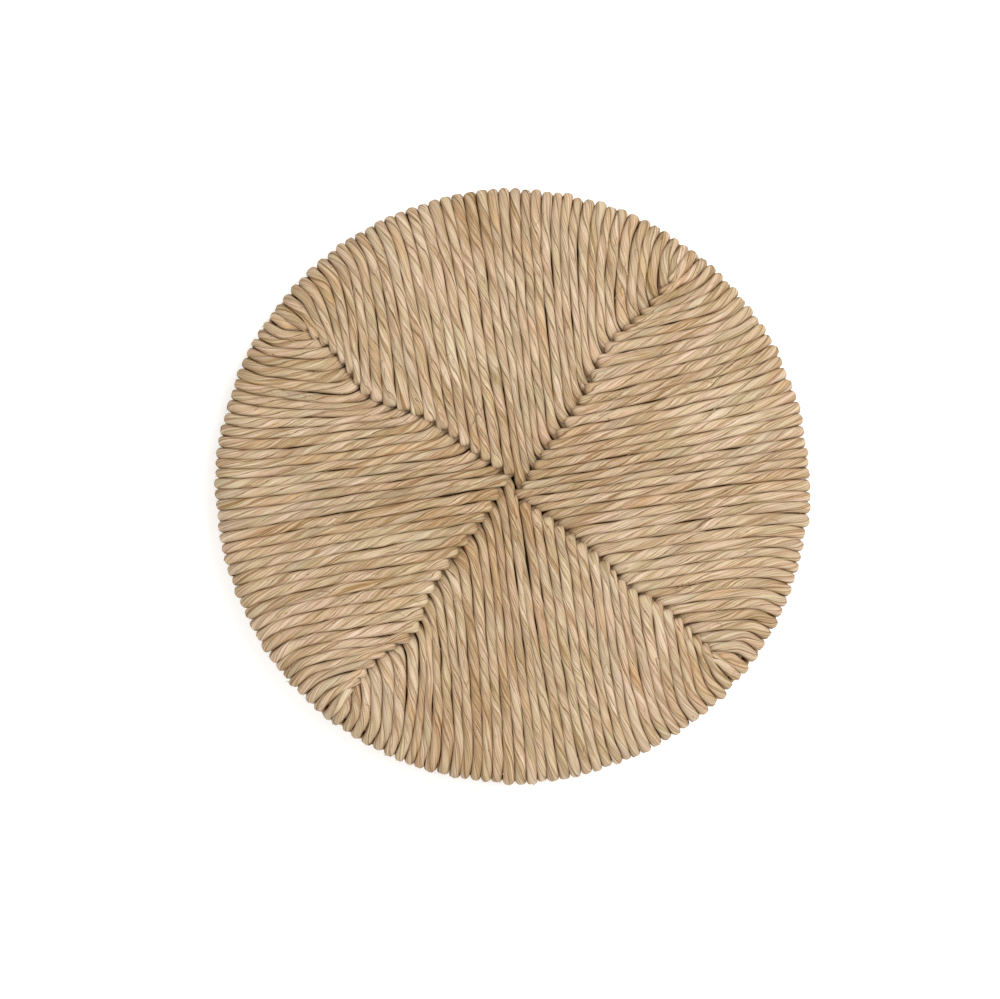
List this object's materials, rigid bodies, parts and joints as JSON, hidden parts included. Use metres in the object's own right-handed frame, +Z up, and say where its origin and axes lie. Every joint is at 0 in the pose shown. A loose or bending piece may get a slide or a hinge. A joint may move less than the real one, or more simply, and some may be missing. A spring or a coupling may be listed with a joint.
{
  "type": "round rush seat pad",
  "caption": "Round woven rush seat on a wooden ring frame, with four quadrants of twisted cord meeting in diagonal mitre seams and small feet underneath.",
  "frame": {"origin": "centre of the plane that the four feet stand on", "axes": "+Z up through the middle of the weave, +Y to the back course and +X to the right course; the seams lie on the diagonals"},
  "size_m": [0.35, 0.35, 0.043],
  "materials": {
    "rush_cord": "matte",
    "stuffing_rush": "matte",
    "rail_beech": "matte",
    "peg_beech": "matte",
    "foot_beech": "satin",
    "tack_steel": "satin"
  },
  "bodies": {
    "root": {"rail_right": "rail_beech", "stuffing_right": "stuffing_rush", "rush_right": "rush_cord", "rail_back": "rail_beech", "stuffing_back": "stuffing_rush", "rush_back": "rush_cord", "rail_left": "rail_beech", "stuffing_left": "stuffing_rush", "rush_left": "rush_cord", "rail_front": "rail_beech", "stuffing_front": "stuffing_rush", "rush_front": "rush_cord", "foot_back_right": "foot_beech", "peg_back_right_1": "peg_beech", "peg_back_right_2": "peg_beech", "foot_back_left": "foot_beech", "peg_back_left_1": "peg_beech", "peg_back_left_2": "peg_beech", "foot_front_left": "foot_beech", "peg_front_left_1": "peg_beech", "peg_front_left_2": "peg_beech", "foot_front_right": "foot_beech", "peg_front_right_1": "peg_beech", "peg_front_right_2": "peg_beech", "start_tack": "tack_steel", "join_knot_1": "rush_cord", "join_knot_2": "rush_cord", "join_knot_3": "rush_cord", "join_knot_4": "rush_cord", "finish_knot": "rush_cord"}
  },
  "joints": []
}
